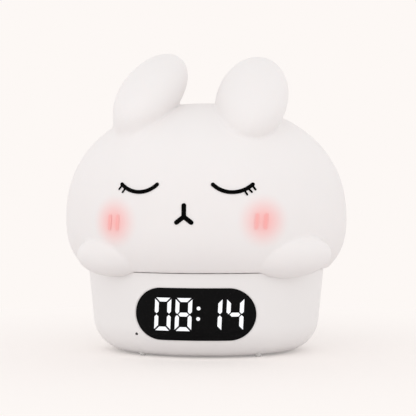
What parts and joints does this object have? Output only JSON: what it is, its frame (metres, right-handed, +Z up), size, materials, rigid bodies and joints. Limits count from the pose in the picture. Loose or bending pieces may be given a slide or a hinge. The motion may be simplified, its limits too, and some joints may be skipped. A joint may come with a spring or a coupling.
{
  "type": "alarm clock",
  "caption": "Small bedside alarm clock with a soft rabbit-shaped night-light head, a tapered tub base, a black digital display and push buttons on the back.",
  "frame": {"origin": "middle of the bounding box footprint, on the surface that the feet stand on", "axes": "+Z up, the display faces -Y, +X runs across the display"},
  "size_m": [0.124, 0.1043, 0.1312],
  "materials": {
    "soft_white_silicone": "matte",
    "dark_silicone": "matte",
    "pink_silicone": "matte",
    "white_abs": "satin",
    "black_lens": "gloss",
    "lit_diffuser": "lit",
    "dark_diffuser": "gloss",
    "black_plastic": "matte",
    "circuit_board": "satin",
    "white_board": "satin",
    "screw_steel": "bright",
    "steel_can": "bright",
    "clear_rubber": "satin",
    "milky_plastic": "matte",
    "led_package": "satin",
    "battery_foil": "satin",
    "wire_cover": "satin",
    "ribbon_film": "satin"
  },
  "bodies": {
    "clock_body": {"head_skin": "soft_white_silicone", "eye_left": "dark_silicone", "eye_right": "dark_silicone", "mouth": "dark_silicone", "cheek_marks": "pink_silicone", "base_shell": "white_abs", "bottom_cover": "white_abs", "display_lens": "black_lens", "lit_segments": "lit_diffuser", "unlit_segments": "dark_diffuser", "display_module": "black_plastic", "display_board": "circuit_board", "microphone": "steel_can", "case_screws": "screw_steel", "rubber_feet": "clear_rubber", "top_deck": "white_abs", "clamp_ring": "white_abs", "clamp_screws": "screw_steel", "diffuser_dome": "milky_plastic", "light_board": "white_board", "light_board_screws": "screw_steel", "light_leds": "led_package", "tap_sensor": "steel_can", "main_board": "circuit_board", "main_chips": "black_plastic", "tact_switches": "black_plastic", "charging_port": "steel_can", "power_switch_case": "steel_can", "speaker": "black_plastic", "battery_tray": "white_abs", "battery": "battery_foil", "battery_leads": "wire_cover", "speaker_leads": "wire_cover", "light_leads": "wire_cover", "display_ribbon": "ribbon_film"},
    "alarm_key": {"alarm_button": "white_abs", "alarm_plunger": "black_plastic"},
    "set_key": {"set_button": "white_abs", "set_plunger": "black_plastic"},
    "down_key": {"down_button": "white_abs", "down_plunger": "black_plastic"},
    "up_key": {"up_button": "white_abs", "up_plunger": "black_plastic"},
    "power_slider": {"power_switch_knob": "black_plastic"}
  },
  "joints": [
    {"name": "alarm_press", "type": "slide", "parent": "clock_body", "child": "alarm_key", "axis": [0, -1, 0], "range_m": [0, 0.0006], "stiffness_N_per_m": 1500},
    {"name": "set_press", "type": "slide", "parent": "clock_body", "child": "set_key", "axis": [0, -1, 0], "range_m": [0, 0.0006], "stiffness_N_per_m": 1500},
    {"name": "down_press", "type": "slide", "parent": "clock_body", "child": "down_key", "axis": [0, -1, 0], "range_m": [0, 0.0006], "stiffness_N_per_m": 1500},
    {"name": "up_press", "type": "slide", "parent": "clock_body", "child": "up_key", "axis": [0, -1, 0], "range_m": [0, 0.0006], "stiffness_N_per_m": 1500},
    {"name": "power_slide", "type": "slide", "parent": "clock_body", "child": "power_slider", "axis": [1, 0, 0], "range_m": [0, 0.002]}
  ]
}
